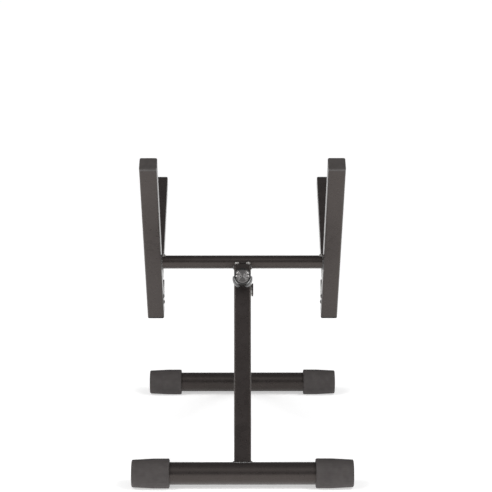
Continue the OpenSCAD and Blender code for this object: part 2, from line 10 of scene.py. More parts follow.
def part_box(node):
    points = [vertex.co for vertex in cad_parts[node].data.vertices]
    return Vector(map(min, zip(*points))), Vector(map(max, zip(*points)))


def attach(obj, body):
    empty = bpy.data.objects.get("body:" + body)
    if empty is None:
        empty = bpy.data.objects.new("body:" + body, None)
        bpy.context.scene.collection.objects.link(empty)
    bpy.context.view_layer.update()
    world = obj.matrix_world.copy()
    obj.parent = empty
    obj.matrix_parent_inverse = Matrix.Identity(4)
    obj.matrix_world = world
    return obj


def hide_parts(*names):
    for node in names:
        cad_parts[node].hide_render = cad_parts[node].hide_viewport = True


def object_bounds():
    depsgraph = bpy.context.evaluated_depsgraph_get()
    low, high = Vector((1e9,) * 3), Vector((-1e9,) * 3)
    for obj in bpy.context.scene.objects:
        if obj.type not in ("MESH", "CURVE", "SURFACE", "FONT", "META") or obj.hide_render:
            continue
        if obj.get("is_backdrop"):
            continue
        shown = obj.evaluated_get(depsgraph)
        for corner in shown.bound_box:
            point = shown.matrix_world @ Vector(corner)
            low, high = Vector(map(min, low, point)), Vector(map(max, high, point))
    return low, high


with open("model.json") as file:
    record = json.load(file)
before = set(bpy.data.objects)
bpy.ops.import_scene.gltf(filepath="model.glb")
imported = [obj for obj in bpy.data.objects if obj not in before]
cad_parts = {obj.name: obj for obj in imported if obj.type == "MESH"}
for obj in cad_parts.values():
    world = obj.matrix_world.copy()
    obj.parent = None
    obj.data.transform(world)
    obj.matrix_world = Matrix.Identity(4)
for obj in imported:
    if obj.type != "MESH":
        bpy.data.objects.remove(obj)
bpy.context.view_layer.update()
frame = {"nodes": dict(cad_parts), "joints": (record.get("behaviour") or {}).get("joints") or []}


# --- Rear foot bar ---
# Round steel tube that lies across the stand behind it. All the steel is welded up first and
# then powder-coated in one satin, slightly warm black, with a fine orange-peel skin.
def new_material(name, colour, roughness, **sockets):
    """A Principled material; the other sockets are given by name, with _ for a space."""
    material = bpy.data.materials.new(name)
    material.use_nodes = True
    shader = material.node_tree.nodes["Principled BSDF"]
    shader.inputs["Base Color"].default_value = (*colour, 1)
    shader.inputs["Roughness"].default_value = roughness
    for socket, value in sockets.items():
        shader.inputs[socket.replace("_", " ")].default_value = value
    return material, material.node_tree, shader


def add_noise(tree, scale, detail):
    """Noise over Object coordinates; scale counts its features per metre."""
    coordinates = tree.nodes.new("ShaderNodeTexCoord")
    noise = tree.nodes.new("ShaderNodeTexNoise")
    noise.inputs["Scale"].default_value = scale
    noise.inputs["Detail"].default_value = detail
    tree.links.new(coordinates.outputs["Object"], noise.inputs["Vector"])
    return noise


def vary(tree, noise, socket, low, high):
    """Spreads a noise between two values or two colours on one socket."""
    ramp = tree.nodes.new("ShaderNodeValToRGB")
    ramp.color_ramp.elements[0].position = 0.3
    ramp.color_ramp.elements[1].position = 0.7
    for element, value in zip(ramp.color_ramp.elements, (low, high)):
        element.color = (*value, 1) if isinstance(value, tuple) else (value, value, value, 1)
    tree.links.new(noise.outputs["Fac"], ramp.inputs["Fac"])
    tree.links.new(ramp.outputs["Color"], socket)


def add_bump(tree, shader, noise, strength, distance):
    """Fine relief from a noise, distance metres deep."""
    bump = tree.nodes.new("ShaderNodeBump")
    bump.inputs["Strength"].default_value = strength
    bump.inputs["Distance"].default_value = distance
    tree.links.new(noise.outputs["Fac"], bump.inputs["Height"])
    tree.links.new(bump.outputs["Normal"], shader.inputs["Normal"])


warm_gloss = (1, 0.87, 0.8, 1)
powder_coat, tree, shader = new_material("powder_coat", (0.022, 0.0187, 0.0183), roughness=0.28,
                                         Specular_Tint=warm_gloss)
vary(tree, add_noise(tree, scale=38, detail=5), shader.inputs["Base Color"],
     (0.0198, 0.0167, 0.0163), (0.0242, 0.0207, 0.0203))
vary(tree, add_noise(tree, scale=90, detail=4), shader.inputs["Roughness"], 0.24, 0.33)
add_bump(tree, shader, add_noise(tree, scale=750, detail=2), strength=0.2, distance=0.0001)

nodes = frame["nodes"]


def finish_nodes(material, *names):
    """Gives CAD nodes one material."""
    for name in names:
        mesh = nodes[name].data
        mesh.materials.clear()
        mesh.materials.append(material)


finish_nodes(powder_coat, "rear_foot_bar")
bar_low, bar_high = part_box("rear_foot_bar")
bar_axis = (bar_low + bar_high) / 2
bar_r = (bar_high.z - bar_low.z) / 2


# --- Rubber foot caps ---
# Moulded black rubber boots pushed on the ends of both foot bars. Each is straight at its open
# end and tapers to its closed one, with fine grooves along it, and stands on a worn flat.
def start_piece():
    """Leaves nothing selected, so that the next operator acts on its own piece."""
    if bpy.context.object and bpy.context.object.mode != "OBJECT":
        bpy.ops.object.mode_set(mode="OBJECT")
    bpy.ops.object.select_all(action="DESELECT")


def turned(name, facets, stations):
    """A closed turned shape round Z: a ring extruded from station to station, each (z, radius)."""
    start_piece()
    z, r = stations[0]
    bpy.ops.mesh.primitive_circle_add(vertices=facets, radius=r, location=(0, 0, z),
                                      fill_type="NGON")
    piece = bpy.context.object
    piece.name = piece.data.name = name
    bpy.ops.object.transform_apply(location=True, rotation=True, scale=True)
    bpy.ops.object.mode_set(mode="EDIT")
    bpy.ops.mesh.select_all(action="SELECT")
    for next_z, next_r in stations[1:]:
        bpy.ops.mesh.extrude_region_move(TRANSFORM_OT_translate={"value": (0, 0, next_z - z)})
        bpy.ops.transform.resize(value=(next_r / r, next_r / r, 1), center_override=(0, 0, next_z))
        z, r = next_z, next_r
    bpy.ops.mesh.select_all(action="SELECT")
    bpy.ops.mesh.normals_make_consistent(inside=False)
    bpy.ops.object.mode_set(mode="OBJECT")
    return piece


def select(piece, kind, wanted):
    """In edit mode, selects the vertices, edges or faces whose corners pass, and nothing else."""
    bpy.ops.object.mode_set(mode="OBJECT")
    mesh = piece.data
    corners = [vertex.co for vertex in mesh.vertices]
    for part in (*mesh.vertices, *mesh.edges, *mesh.polygons):
        part.select = False
    if kind == "VERT":
        for vertex in mesh.vertices:
            vertex.select = bool(wanted(vertex.co))
    else:
        for part in mesh.edges if kind == "EDGE" else mesh.polygons:
            part.select = bool(wanted(*(corners[i] for i in part.vertices)))
    bpy.context.tool_settings.mesh_select_mode = [kind == k for k in ("VERT", "EDGE", "FACE")]
    bpy.ops.object.mode_set(mode="EDIT")


def place(piece, seat):
    """Moves a finished mesh to its seat; the object itself stays at the origin."""
    start_piece()
    piece.select_set(True)
    bpy.context.view_layer.objects.active = piece
    piece.matrix_world = seat
    bpy.ops.object.transform_apply(location=True, rotation=True, scale=True)


def smooth(piece, degrees):
    """Smooth shading, kept crisp at the real edges."""
    start_piece()
    piece.select_set(True)
    bpy.context.view_layer.objects.active = piece
    bpy.ops.object.shade_smooth_by_angle(angle=math.radians(degrees))


def copy_of(piece, name):
    """A copy with its own mesh."""
    twin = piece.copy()
    twin.data = piece.data.copy()
    twin.name = twin.data.name = name
    bpy.context.collection.objects.link(twin)
    return twin


def own(piece, material, body, slot, *replaced):
    """Dresses a new piece: its finish, its body and the nodes that it stands for; slot is not
    used.
    """
    piece.data.materials.clear()
    piece.data.materials.append(material)
    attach(piece, body)
    if replaced:
        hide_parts(*replaced)


rubber, tree, shader = new_material("rubber_cap", (0.0505, 0.044, 0.0427), roughness=0.78)
vary(tree, add_noise(tree, scale=60, detail=6), shader.inputs["Base Color"],
     (0.0436, 0.0379, 0.0367), (0.0567, 0.0493, 0.048))
vary(tree, add_noise(tree, scale=140, detail=4), shader.inputs["Roughness"], 0.70, 0.86)
add_bump(tree, shader, add_noise(tree, scale=900, detail=3), strength=0.5, distance=0.00018)

cap_low, cap_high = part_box("rear_foot_cap_right")
cap_r = (cap_high.y - cap_low.y) / 2
cap_len = cap_high.x - cap_low.x
cap_taper = 0.0016
cap_end_r = cap_r - cap_taper
taper_start, taper_full, taper_ease = 0.92, 1.08, 0.00012
cap_straight = 0.024
cap_rim = 0.0014
rim_round = cap_rim * 0.3
cap_clearance = 0.00005
cap_bore_r = bar_r + cap_clearance
cap_bore_end = 0.005
cap_mouth = 0.0006
dish_r, dish_slope, dish_depth = 0.011, 0.0007, 0.0005
dish_centre = 0.0002
cap_grooves = 44
cap_facets = cap_grooves * 4
groove_depth = 0.00028
groove_start, groove_end = cap_rim * 2.4, 0.004
start_fade, end_fade = cap_rim * 0.2, 0.0002
skin_depth = 0.0003
# Stations from the bore's end, round the open rim and along the outside to the dished end
cap_profile = [
    (cap_len - cap_bore_end, cap_bore_r),
    (cap_mouth, cap_bore_r),
    (0, bar_r + cap_mouth),
    (0, cap_r - cap_rim),
    (rim_round, cap_r - rim_round),
    (cap_rim, cap_r),
    (groove_start - start_fade, cap_r),
    (groove_start + start_fade, cap_r),
    (cap_straight * taper_start, cap_r),
    (cap_straight * taper_full, cap_r - taper_ease),
    (cap_len - groove_end - end_fade, cap_end_r + taper_ease),
    (cap_len - groove_end + end_fade, cap_end_r),
    (cap_len - cap_rim, cap_end_r),
    (cap_len - rim_round, cap_end_r - rim_round),
    (cap_len, cap_end_r - cap_rim),
    (cap_len, dish_r),
    (cap_len - dish_depth, dish_r - dish_slope),
    (cap_len - dish_depth, dish_centre)]


def in_groove(v):
    """Every fourth line of the cap's outer skin, away from both of its rims."""
    line = round(math.atan2(v.y, v.x) / math.tau * cap_facets)
    return (groove_start < v.z < cap_len - groove_end and line % 4 == 0
            and v.xy.length > cap_end_r - skin_depth)


foot_cap = turned("foot_cap", cap_facets, cap_profile)
select(foot_cap, "VERT", in_groove)
shrink = (cap_r - groove_depth) / cap_r
bpy.ops.transform.resize(value=(shrink, shrink, 1), center_override=(0, 0, 0))
crisp_rims = 50
smooth(foot_cap, crisp_rims)

sides = (("left", -1), ("right", 1))
across_stand = Matrix.Rotation(math.pi / 2, 4, "Y")
worn_flat = (0, 0, 0.00002)
cap_bodies = {"rear": "rear_frame", "front": "front_leg"}
for row, body in cap_bodies.items():
    for side, way in sides:
        name = f"{row}_foot_cap_{side}"
        low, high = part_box(name)
        inner = Vector((low.x if way > 0 else high.x, (low.y + high.y) / 2, bar_axis.z))
        boot = copy_of(foot_cap, name + "_boot")
        place(boot, Matrix.Translation(inner) @ Matrix.Scale(way, 4, (1, 0, 0)) @ across_stand)
        select(boot, "VERT", lambda v: True)
        bpy.ops.mesh.bisect(plane_co=worn_flat, plane_no=(0, 0, 1), clear_inner=True,
                            use_fill=True)
        bpy.ops.mesh.select_all(action="SELECT")
        bpy.ops.mesh.normals_make_consistent(inside=False)
        bpy.ops.object.mode_set(mode="OBJECT")
        smooth(boot, crisp_rims)
        own(boot, rubber, body, "rubber_cap", name)
bpy.data.objects.remove(foot_cap)


# --- Column, crossbar and uprights ---
# Square steel tubes, coped and welded: the column stands on the rear foot bar and leans
# forwards, and the crossbar on its top carries the two uprights, which lean back.
finish_nodes(powder_coat, "crossbar", "left_upright", "right_upright", "left_plug_rivets",
             "right_plug_rivets")
touching = 1e-6


def eased(node, name, width, body, slot, material):
    """A copy of a node with even shading and, where a width is given, with its edges broken."""
    start_piece()
    piece = copy_of(nodes[node], name)
    piece.parent = None
    piece.matrix_world = Matrix.Identity(4)
    piece.select_set(True)
    bpy.context.view_layer.objects.active = piece
    bpy.ops.object.mode_set(mode="EDIT")
    bpy.ops.mesh.select_all(action="SELECT")
    bpy.ops.mesh.remove_doubles(threshold=touching)
    bpy.ops.mesh.dissolve_limited(angle_limit=math.radians(1))
    bpy.ops.object.mode_set(mode="OBJECT")
    if width:
        ease = piece.modifiers.new("ease", "BEVEL")
        ease.width = width
        ease.segments = 2
        ease.limit_method = "ANGLE"
        ease.angle_limit = math.radians(40)
        bpy.ops.object.modifier_apply(modifier="ease")
    smooth(piece, degrees=40)
    flatten = piece.modifiers.new("flatten", "WEIGHTED_NORMAL")
    flatten.keep_sharp = True
    bpy.ops.object.modifier_apply(modifier="flatten")
    own(piece, material, body, slot, node)


deburred = 0.0004
eased("rear_column", "column_deburred", deburred, "rear_frame", "powder_coat", powder_coat)
joints = {joint["name"]: joint for joint in frame["joints"]}
clamp_axis = Vector(joints["knob_turn"]["axis"]).normalized()
clamp_at = Vector(joints["knob_turn"]["pos_m"])
pivot_at = Vector(joints["front_leg_fold"]["pos_m"])
column_lean = math.atan2(clamp_axis.z, -clamp_axis.y)
column_frame = (Matrix.Translation((0, bar_axis.y, bar_axis.z))
                @ Matrix.Rotation(-column_lean, 4, "X"))
tube_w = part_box("rear_column")[1].x * 2
in_column = column_frame.inverted()
clamp_h = (in_column @ clamp_at).z
column_mid = (in_column @ clamp_at).y + tube_w / 2
crossbar_low, crossbar_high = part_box("crossbar")
crossbar_axis = (crossbar_low + crossbar_high) / 2
crossbar_r = (crossbar_high.z - crossbar_low.z) / 2
crossbar_h = (in_column @ crossbar_axis).z


# --- Weld beads ---
# Each joint has a hand-laid fillet bead under the coat. It is a row of overlapping ripples,
# skinned into one bead, and it shines a little more than the tube because it is so round.
def along(points, pitch):
    """Points at an even pitch on a polyline, each with its heading."""
    found, carry = [], 0.0
    for a, b in zip(points, points[1:]):
        span = (b - a).length
        at = carry
        while at < span:
            found.append((a.lerp(b, at / span), (b - a).normalized()))
            at += pitch
        carry = at - span
    return found


weld_steel, tree, shader = new_material("weld_coat", (0.028, 0.0245, 0.0235), roughness=0.2,
                                        Specular_IOR_Level=0.9, Coat_Weight=0.6,
                                        Coat_Roughness=0.08)
vary(tree, add_noise(tree, scale=300, detail=4), shader.inputs["Roughness"], 0.16, 0.28)
add_bump(tree, shader, add_noise(tree, scale=900, detail=3), strength=0.4, distance=0.0001)

hand_sway, hand_beat = 0.10, 2.3
ripple_flatness = 0.72
skin_size = 0.00042


def weld_bead(name, body, paths, bead, finish=weld_steel):
    """Ripples of a bead's radius and pitch along the paths, skinned into one bead."""
    start_piece()
    bead_r, pitch = bead
    ripples = []
    for points in paths:
        for i, (at, heading) in enumerate(along(points, pitch)):
            wobble = 1 + hand_sway * math.sin(i * hand_beat)
            bpy.ops.mesh.primitive_uv_sphere_add(segments=10, ring_count=6,
                                                 radius=bead_r * wobble, location=at)
            ripple = bpy.context.object
            ripple.rotation_euler = heading.to_track_quat("Z", "Y").to_euler()
            ripple.scale = (1, 1, ripple_flatness)
            ripples.append(ripple)
    for ripple in ripples:
        ripple.select_set(True)
    bpy.context.view_layer.objects.active = ripples[0]
    bpy.ops.object.join()
    weld = bpy.context.object
    weld.name = weld.data.name = name
    bpy.ops.object.transform_apply(location=True, rotation=True, scale=True)
    remesh = weld.modifiers.new("skin", "REMESH")
    remesh.mode = "VOXEL"
    remesh.voxel_size = skin_size
    bpy.ops.object.modifier_apply(modifier="skin")
    even = weld.modifiers.new("even", "SMOOTH")
    even.factor = 0.5
    even.iterations = 2
    bpy.ops.object.modifier_apply(modifier="even")
    smooth(weld, degrees=180)
    own(weld, finish, body, "powder_coat")


def square_path(half, corner, steps=4):
    """The outline of a square tube with round corners, closed, as (x, y) pairs."""
    points = []
    for turn in range(4):
        for step in range(steps + 1):
            angle = math.pi / 2 * (turn + step / steps)
            cx, cy = ((1, 1), (-1, 1), (-1, -1), (1, -1))[turn]
            points.append((cx * (half - corner) + corner * math.cos(angle),
                           cy * (half - corner) + corner * math.sin(angle)))
    return points + points[:1]


bead_lift = 0.0004


def saddle_path(tube_frame, half, corner, offset, bar_radius, steps=6):
    """Where a square tube along Z meets a round bar along X at the origin."""
    points = []
    outline = square_path(half + bead_lift, corner)
    for (x0, y0), (x1, y1) in zip(outline, outline[1:]):
        for step in range(steps):
            x = x0 + (x1 - x0) * step / steps
            y = offset + y0 + (y1 - y0) * step / steps
            if abs(y) < bar_radius:
                points.append(tube_frame @ Vector((x, y, math.sqrt(bar_radius ** 2 - y ** 2))))
    return points


# Each bead has the radius of its ripples and their pitch
wide_bead, tube_bead, ring_bead = (0.0017, 0.0021), (0.0016, 0.0021), (0.0015, 0.002)
tube_corner = 0.0026
weld_bead("rear_foot_weld", "rear_frame",
          [saddle_path(column_frame, tube_w / 2, tube_corner, column_mid, bar_r)], wide_bead)

# Under the crossbar the column is open like a saddle, so the bead runs round its top end
cope_gap = 0.0002
top_frame = (column_frame @ Matrix.Translation((0, column_mid, crossbar_h))
             @ Matrix.Rotation(math.pi, 4, "Y"))
weld_bead("crossbar_weld", "rear_frame",
          [saddle_path(top_frame, tube_w / 2, tube_corner, 0, crossbar_r + cope_gap)], tube_bead)

# Behind the crossbar the column's wall ends lower, and two tacks tie its edge to the crossbar.
# Their bright metal finish is a painted highlight, standing for the lamps' glints on the glossy
# coat of their crowns
glint_painted_metal, tree, shader = new_material("painted_glint_tack", (0.27, 0.26, 0.25), roughness=0.3,
                                        Metallic=0.8)
vary(tree, add_noise(tree, scale=300, detail=4), shader.inputs["Roughness"], 0.24, 0.38)
add_bump(tree, shader, add_noise(tree, scale=900, detail=3), strength=0.4, distance=0.0001)
big_tack, small_tack = (0.0026, 0.0012), (0.0021, 0.0012)
wall_drop = 0.005
wall_top = crossbar_h - wall_drop
tack_in, tack_up, tack_span = 0.0019, 0.0012, (0.0068, 0.0108)
tacks = [[column_frame @ Vector((way * x, column_mid - tube_w / 2 + tack_in, wall_top + tack_up))
          for x in tack_span] for side, way in sides]
weld_bead("crossbar_tacks", "rear_frame", tacks, big_tack, finish=glint_painted_metal)


def round_crossbar(x, lift, turn):
    """A point lifted from the crossbar's skin, at a turn round it from its front."""
    reach = crossbar_r + lift
    return Vector((x, crossbar_axis.y + reach * math.cos(turn),
                   crossbar_axis.z + reach * math.sin(turn)))


# A ring bead ties each upright to the crossbar's end, with a tack over it near the top
ring_steps = 36
end_tack_turn, end_tack_lift, end_tack_span = math.radians(105), 0.0008, (0.001, 0.0046)
for side, way in sides:
    inner_x = way * (crossbar_high.x - cope_gap)
    ring = [round_crossbar(inner_x, bead_lift, math.tau * i / ring_steps)
            for i in range(ring_steps + 1)]
    weld_bead(f"{side}_upright_weld", "rear_frame", [ring], ring_bead)
    # The tack takes the bright metal, a painted highlight for the lamps' glints
    tack = [round_crossbar(inner_x - way * x, end_tack_lift, end_tack_turn)
            for x in end_tack_span]
    weld_bead(f"{side}_upright_tack", "rear_frame", [tack], small_tack, finish=glint_painted_metal)


# --- Tube plugs ---
# Moulded black plugs close both ends of each upright and the free end of each arm. A head with
# rounded edges covers the tube's end, and a hollow part grips inside it.
plug_plastic, tree, shader = new_material("plug_plastic", (0.006, 0.006, 0.006), roughness=0.72,
                                          Specular_IOR_Level=0.2)
vary(tree, add_noise(tree, scale=120, detail=4), shader.inputs["Roughness"], 0.66, 0.80)
add_bump(tree, shader, add_noise(tree, scale=1100, detail=2), strength=0.4, distance=0.00008)
# The upper plugs get a lighter grey, slightly glossier copy of the plug plastic: painted light for
# their tops lit from above
painted_lit_plastic, tree, shader = new_material("painted_lit_plug_plastic", (0.055, 0.049, 0.047),
                                          roughness=0.38)
vary(tree, add_noise(tree, scale=150, detail=5), shader.inputs["Base Color"],
     (0.046, 0.041, 0.039), (0.062, 0.055, 0.053))
vary(tree, add_noise(tree, scale=120, detail=4), shader.inputs["Roughness"], 0.32, 0.46)
add_bump(tree, shader, add_noise(tree, scale=1100, detail=2), strength=0.3, distance=0.00006)
tip_rubber, tree, shader = new_material("tip_rubber", (0.03, 0.029, 0.029), roughness=0.7)
vary(tree, add_noise(tree, scale=140, detail=4), shader.inputs["Roughness"], 0.62, 0.80)
add_bump(tree, shader, add_noise(tree, scale=900, detail=3), strength=0.4, distance=0.00012)


def middle(node):
    """The middle of a node's box."""
    low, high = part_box(node)
    return (low + high) / 2


def frame_at(origin, up):
    """A frame with Z along up and X across the stand."""
    z = Vector(up).normalized()
    y = z.cross(Vector((1, 0, 0))).normalized()
    turn = Matrix((Vector((1, 0, 0)), y, z)).transposed().to_4x4()
    return Matrix.Translation(origin) @ turn


upright_up = (middle("left_upright_top_plug") - middle("left_upright_bottom_plug")).normalized()
upright_below = 0.112
upright_len = 0.311


def upright_frame(way):
    """On an upright's axis at its lower end, Z up along it and Y forwards."""
    across = way * (crossbar_high.x + tube_w / 2)
    on_axis = Vector((across, crossbar_axis.y, crossbar_axis.z))
    return frame_at(on_axis - upright_up * upright_below, upright_up)


plug_head = 0.003
head_edge = 0.0009
crown_rise, crown_shares = 0.0001, (0.74, 0.62)
plug_clearance = 0.0001
plug_bore_share = 0.8
plug_floor = 0.001


def tube_plug(name, width, corner, wall, depth):
    """A plug whose head stands on the origin and whose hollow part goes down from it."""
    start_piece()
    bpy.ops.mesh.primitive_cube_add(size=1, location=(0, 0, plug_head / 2),
                                    scale=(width, width, plug_head))
    plug = bpy.context.object
    plug.name = plug.data.name = name
    bpy.ops.object.transform_apply(location=True, rotation=True, scale=True)
    select(plug, "EDGE", lambda a, b: abs(a.z - b.z) > plug_head / 2)
    bpy.ops.mesh.bevel(offset=corner, segments=5, affect="EDGES")
    select(plug, "EDGE", lambda a, b: min(a.z, b.z) > plug_head - touching)
    bpy.ops.mesh.bevel(offset=head_edge, segments=4, affect="EDGES")
    select(plug, "FACE", lambda *corners: min(c.z for c in corners) > plug_head - touching)
    for share in crown_shares:
        bpy.ops.mesh.extrude_region_move(TRANSFORM_OT_translate={"value": (0, 0, crown_rise)})
        bpy.ops.transform.resize(value=(share, share, 1), center_override=(0, 0, 0))
    select(plug, "FACE", lambda *corners: max(c.z for c in corners) < touching)
    shank = 1 - 2 * (wall + plug_clearance) / width
    for drop, share in ((0, shank), (-depth, 1), (0, shank * plug_bore_share),
                        (depth - plug_floor, 1)):
        bpy.ops.mesh.extrude_region_move(TRANSFORM_OT_translate={"value": (0, 0, drop)})
        bpy.ops.transform.resize(value=(share, share, 1), center_override=(0, 0, 0))
    bpy.ops.object.mode_set(mode="OBJECT")
    smooth(plug, degrees=40)
    return plug


tube_wall = 0.0016
plug_depth = 0.014
long_plug_depth = 0.042
top_end = Matrix.Translation((0, 0, upright_len - plug_head))
bottom_end = Matrix.Translation((0, 0, plug_head)) @ Matrix.Rotation(math.pi, 4, "X")
# The top plugs take that lighter copy, painted light for their lit tops; the bottom plugs stay
# black
for side, way in sides:
    for end, depth, seat, plastic in (("top", plug_depth, top_end, painted_lit_plastic),
                                      ("bottom", long_plug_depth, bottom_end, plug_plastic)):
        node = f"{side}_upright_{end}_plug"
        plug = tube_plug(node + "_cover", tube_w, tube_corner, tube_wall, depth)
        place(plug, upright_frame(way) @ seat)
        own(plug, plastic, "rear_frame", "plug_plastic", node)


# --- Clamp ---
# A bright zinc bush is pressed through the column. The knob's stud screws through it and
# presses on the hub of the front leg, so that the opened leg stays put.
zinc_plate, tree, shader = new_material("zinc_plate", (0.56, 0.56, 0.54), roughness=0.30,
                                        Metallic=1.0)
vary(tree, add_noise(tree, scale=260, detail=5), shader.inputs["Roughness"], 0.24, 0.40)
add_bump(tree, shader, add_noise(tree, scale=1500, detail=3), strength=0.25, distance=0.00005)
finish_nodes(zinc_plate, "clamp_bush", "clamp_stud", "leg_pivot_washer")


# --- Clamp knob ---
# Glossy moulded knob with three broad lobes, a collar behind them and a long boss in front,
# and a turned metal disc with a polished rim set in the boss's end.
knob_plastic, tree, shader = new_material("knob_plastic", (0.007, 0.0068, 0.0068), roughness=0.16,
                                          Specular_IOR_Level=0.6)
vary(tree, add_noise(tree, scale=200, detail=4), shader.inputs["Roughness"], 0.12, 0.24)
add_bump(tree, shader, add_noise(tree, scale=700, detail=3), strength=0.15, distance=0.00008)

clamp_frame = frame_at(clamp_at, clamp_axis)
knob_r = 0.01525
knob_lobes = 3
notch_at, notch_r = 0.01505, 0.004
lip_at, lip_r = 0.0145, 0.0008
notch_to_lip = notch_r + lip_r
lip_turn = math.acos((lip_at ** 2 + notch_at ** 2 - notch_to_lip ** 2) / (2 * notch_at * lip_at))


def arc(centre, radius, start, end, count):
    """Points on an arc in the XY plane, from one angle to another."""
    return [Vector((centre[0] + radius * math.cos(start + (end - start) * i / count),
                    centre[1] + radius * math.sin(start + (end - start) * i / count), 0))
            for i in range(count + 1)]


def grip_outline():
    """The knob's edge from the middle of its lowest notch once round."""
    lip = lip_at * math.cos(lip_turn), lip_at * math.sin(lip_turn)
    meet = math.atan2(lip[1], lip[0] - notch_at)
    half = arc((notch_at, 0), notch_r, math.pi, meet, count=7)[:-1]
    half += arc(lip, lip_r, meet - math.pi, lip_turn, count=6)[:-1]
    half += arc((0, 0), knob_r, lip_turn, math.pi / knob_lobes, count=9)
    mirrored = [Vector((p.x, -p.y, 0)) for p in reversed(half[1:])]
    points = []
    for i in range(knob_lobes):
        turn = Matrix.Rotation(math.tau * i / knob_lobes - math.pi / 2, 4, "Z")
        later = turn @ Matrix.Rotation(math.tau / knob_lobes, 4, "Z")
        points += [turn @ p for p in half[:-1]] + [later @ p for p in mirrored]
    return points


grip_back, grip_front = 0.008, 0.020
grip_bore_r = 0.0082
# The grip's side from back to front: each height, and how far it lies inside the rim
grip_side = (
    (grip_back, 0.0016),
    (grip_back + 0.0005, 0.0005),
    (grip_back + 0.0016, 0),
    (grip_back + 0.0024, 0.00005),
    (0.0125, 0.0004),
    (0.0150, 0.0010),
    (0.0172, 0.0016),
    (0.0186, 0.0021),
    (0.0195, 0.0027),
    (grip_front, 0.0035))
outline = grip_outline()
grip = turned("knob_grip", len(outline), [
    (grip_back, grip_bore_r),
    *((height, knob_r - inside) for height, inside in grip_side),
    (grip_front, grip_bore_r)])
for ring, (height, inside) in enumerate(grip_side, 1):
    share = (knob_r - inside) / knob_r
    for point, vertex in zip(outline, grip.data.vertices[ring * len(outline):]):
        vertex.co.xy = (point * share).xy

collar_r, collar_back, collar_edge = 0.0085, 0.004, 0.0005
core_r, core_lap = 0.0084, 0.0002
boss_bore_r, boss_r, boss_end = 0.0041, 0.0125, 0.037
line_at, line_end = grip_front + 0.0030, grip_front + 0.0040
line_slope, line_depth = 0.0002, 0.0004
# The boss's rounded edge: how far each point lies below its end and inside its side
boss_edge = ((0.0016, 0), (0.00099, 0.00012), (0.00047, 0.00047), (0.00012, 0.00099), (0, 0.0016))
seat_r, seat_lip, seat_floor = 0.0060, 0.0018, 0.0006
boss = turned("knob_boss", 72, [
    (collar_back, boss_bore_r),
    (collar_back, collar_r - collar_edge),
    (collar_back + collar_edge, collar_r),
    (grip_back + core_lap, collar_r),
    (grip_back + core_lap, core_r),
    (grip_front - core_lap, core_r),
    (grip_front - core_lap, boss_r),
    (line_at, boss_r),
    (line_at + line_slope, boss_r - line_depth),
    (line_end - line_slope, boss_r - line_depth),
    (line_end, boss_r),
    *((boss_end - below, boss_r - inside) for below, inside in boss_edge),
    (boss_end - seat_floor, boss_r - seat_lip),
    (boss_end - seat_floor, seat_r)])
start_piece()
grip.select_set(True)
boss.select_set(True)
bpy.context.view_layer.objects.active = boss
bpy.ops.object.join()
boss.name = boss.data.name = "knob_moulding"
place(boss, clamp_frame)
smooth(boss, degrees=32)
own(boss, knob_plastic, "clamp_knob", "knob_plastic", "clamp_knob")

# The disc's face keeps the fine rings of the lathe tool, which fan the light out sideways
turned_metal, tree, shader = new_material("turned_metal", (0.068, 0.064, 0.063), roughness=0.22,
                                          Metallic=0.35)
vary(tree, add_noise(tree, scale=260, detail=5), shader.inputs["Roughness"], 0.19, 0.26)
polished, tree, shader = new_material("polished_rim", (0.115, 0.110, 0.108), roughness=0.17,
                                      Metallic=0.9)
vary(tree, add_noise(tree, scale=400, detail=4), shader.inputs["Roughness"], 0.14, 0.22)
disc_r = 0.0103
disc_face = 0.039
rim_w = 0.0017
rim_bore_r = 0.004
face_depth = 0.0004
face_gap = 0.0001
# The rim's section: how far each point lies below the disc's face and inside its edge
rim_section = (
    (0.00085, 0),
    (0.0007, 0.0001),
    (0.0006, 0.00025),
    (0, rim_w),
    (0.0001, rim_w + face_gap),
    (face_depth, rim_w + face_gap))
rim = turned("knob_disc_rim", 96, [
    (boss_end - seat_floor, disc_r),
    *((disc_face - below, disc_r - inside) for below, inside in rim_section),
    (disc_face - face_depth, rim_bore_r)])
ring_count = 34
ring_pitch = 0.0005
ring_depth = 0.00011
face_r = disc_r - rim_w - 2 * face_gap
disc_rings = [(disc_face - ring_depth * (1 + i % 2), face_r - ring_pitch / 2 * i)
              for i in range(ring_count)]
disc = turned("knob_disc", 96, [(disc_face - face_depth, face_r), *disc_rings])
for piece, metal, crisp, replaced in ((rim, polished, 20, ()),
                                      (disc, turned_metal, 12, ("knob_cap",))):
    place(piece, clamp_frame)
    smooth(piece, crisp)
    own(piece, metal, "clamp_knob", "turned_metal", *replaced)


# --- Front leg and its hinge ---
# The leg is a square tube, coped and welded to the front foot bar. Its hinge block turns on a
# broad-headed rivet in a folded bracket that is welded to the column's front.
finish_nodes(powder_coat, "leg_stop_pin", "front_leg", "front_foot_bar", "leg_pivot_rivet")
folded, forged = 0.0005, 0.0006
eased("hinge_bracket", "hinge_bracket_folded", folded, "rear_frame", "powder_coat", powder_coat)
eased("leg_hinge_block", "leg_hinge_forging", forged, "front_leg", "powder_coat", powder_coat)

front_axis = middle("front_foot_bar")
leg_frame = frame_at(pivot_at, pivot_at - front_axis)
leg_w = 0.020
leg_corner = 0.002
leg_len = (pivot_at - front_axis).length
leg_shoulder = 0.020
block_bead, bracket_bead = (0.0013, 0.0019), (0.0011, 0.0019)
at_front_bar = leg_frame @ Matrix.Translation((0, 0, -leg_len))
weld_bead("front_foot_weld", "front_leg",
          [saddle_path(at_front_bar, leg_w / 2, leg_corner, 0, bar_r)], tube_bead)
leg_ring = [leg_frame @ Vector((x, y, -leg_shoulder))
            for x, y in square_path(leg_w / 2 + cope_gap, leg_corner)]
weld_bead("leg_block_weld", "front_leg", [leg_ring], block_bead)

